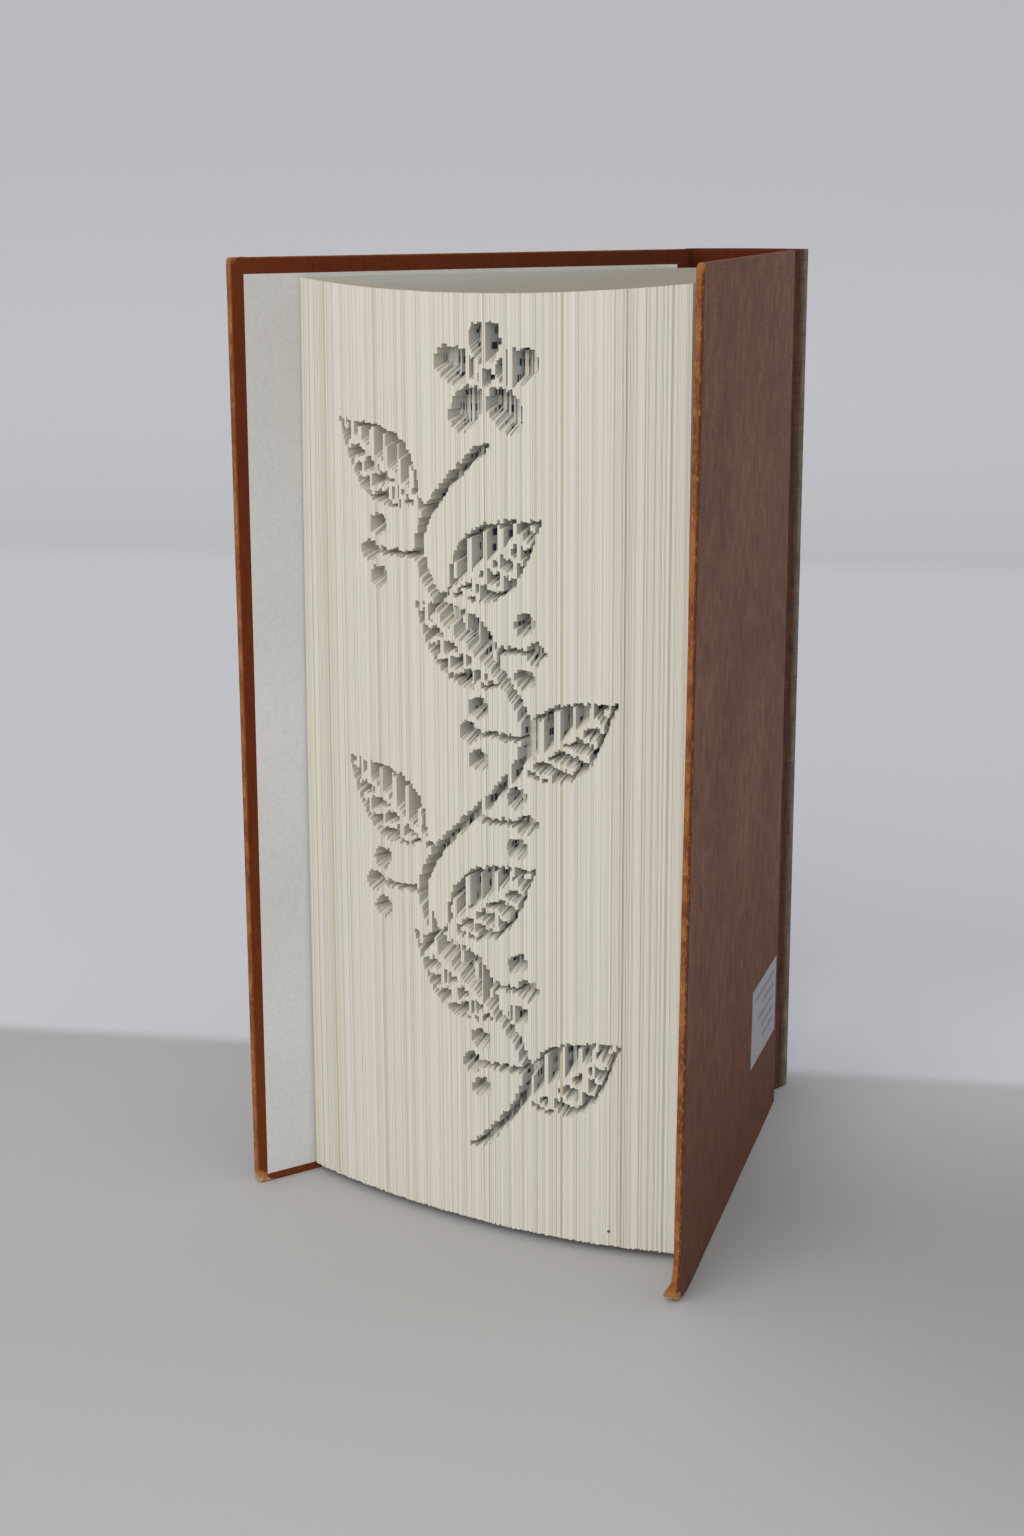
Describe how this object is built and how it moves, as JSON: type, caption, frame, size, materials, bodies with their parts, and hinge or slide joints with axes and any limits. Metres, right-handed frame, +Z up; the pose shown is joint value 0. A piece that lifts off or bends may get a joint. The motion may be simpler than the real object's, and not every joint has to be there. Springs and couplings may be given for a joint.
{
  "type": "book",
  "caption": "Cloth-bound hardback book standing on its tail, leaves fanned and covers splayed, with a leafy sprig cut into the fore edge.",
  "frame": {"origin": "middle of the book's footprint, on the surface it stands on", "axes": "+Z up along the covers, spine towards +Y, fore edge towards -Y, front cover on the -X side"},
  "size_m": [0.1286, 0.1472, 0.24],
  "materials": {
    "leaf_paper": "matt cream book paper, edges striped by the leaves",
    "endpaper": "matt pale grey paper",
    "case_cloth": "orange-brown book cloth, fine weave, paler where worn",
    "board": "dense grey-tan card",
    "gauze": "open starched gauze",
    "kraft_paper": "brown wrapping paper",
    "label_paper": "matt label paper with plain grey bars"
  },
  "bodies": {
    "block": {"book_block": "leaf_paper", "front_flyleaf": "endpaper", "back_flyleaf": "endpaper", "spine_mull": "gauze", "spine_lining": "kraft_paper", "spine_cloth": "case_cloth", "spine_inlay": "board"},
    "front_cover": {"front_cloth": "case_cloth", "front_board": "board", "front_pastedown": "endpaper"},
    "back_cover": {"back_cloth": "case_cloth", "back_board": "board", "back_pastedown": "endpaper", "back_label": "label_paper"}
  },
  "joints": [
    {"name": "front_hinge", "type": "hinge", "parent": "block", "child": "front_cover", "pos_m": [-0.01632, 0.05352, 0.12], "axis": [0, 0, -1], "range_deg": [0, 110]},
    {"name": "back_hinge", "type": "hinge", "parent": "block", "child": "back_cover", "pos_m": [0.01632, 0.0589, 0.12], "axis": [0, 0, 1], "range_deg": [0, 110]}
  ]
}
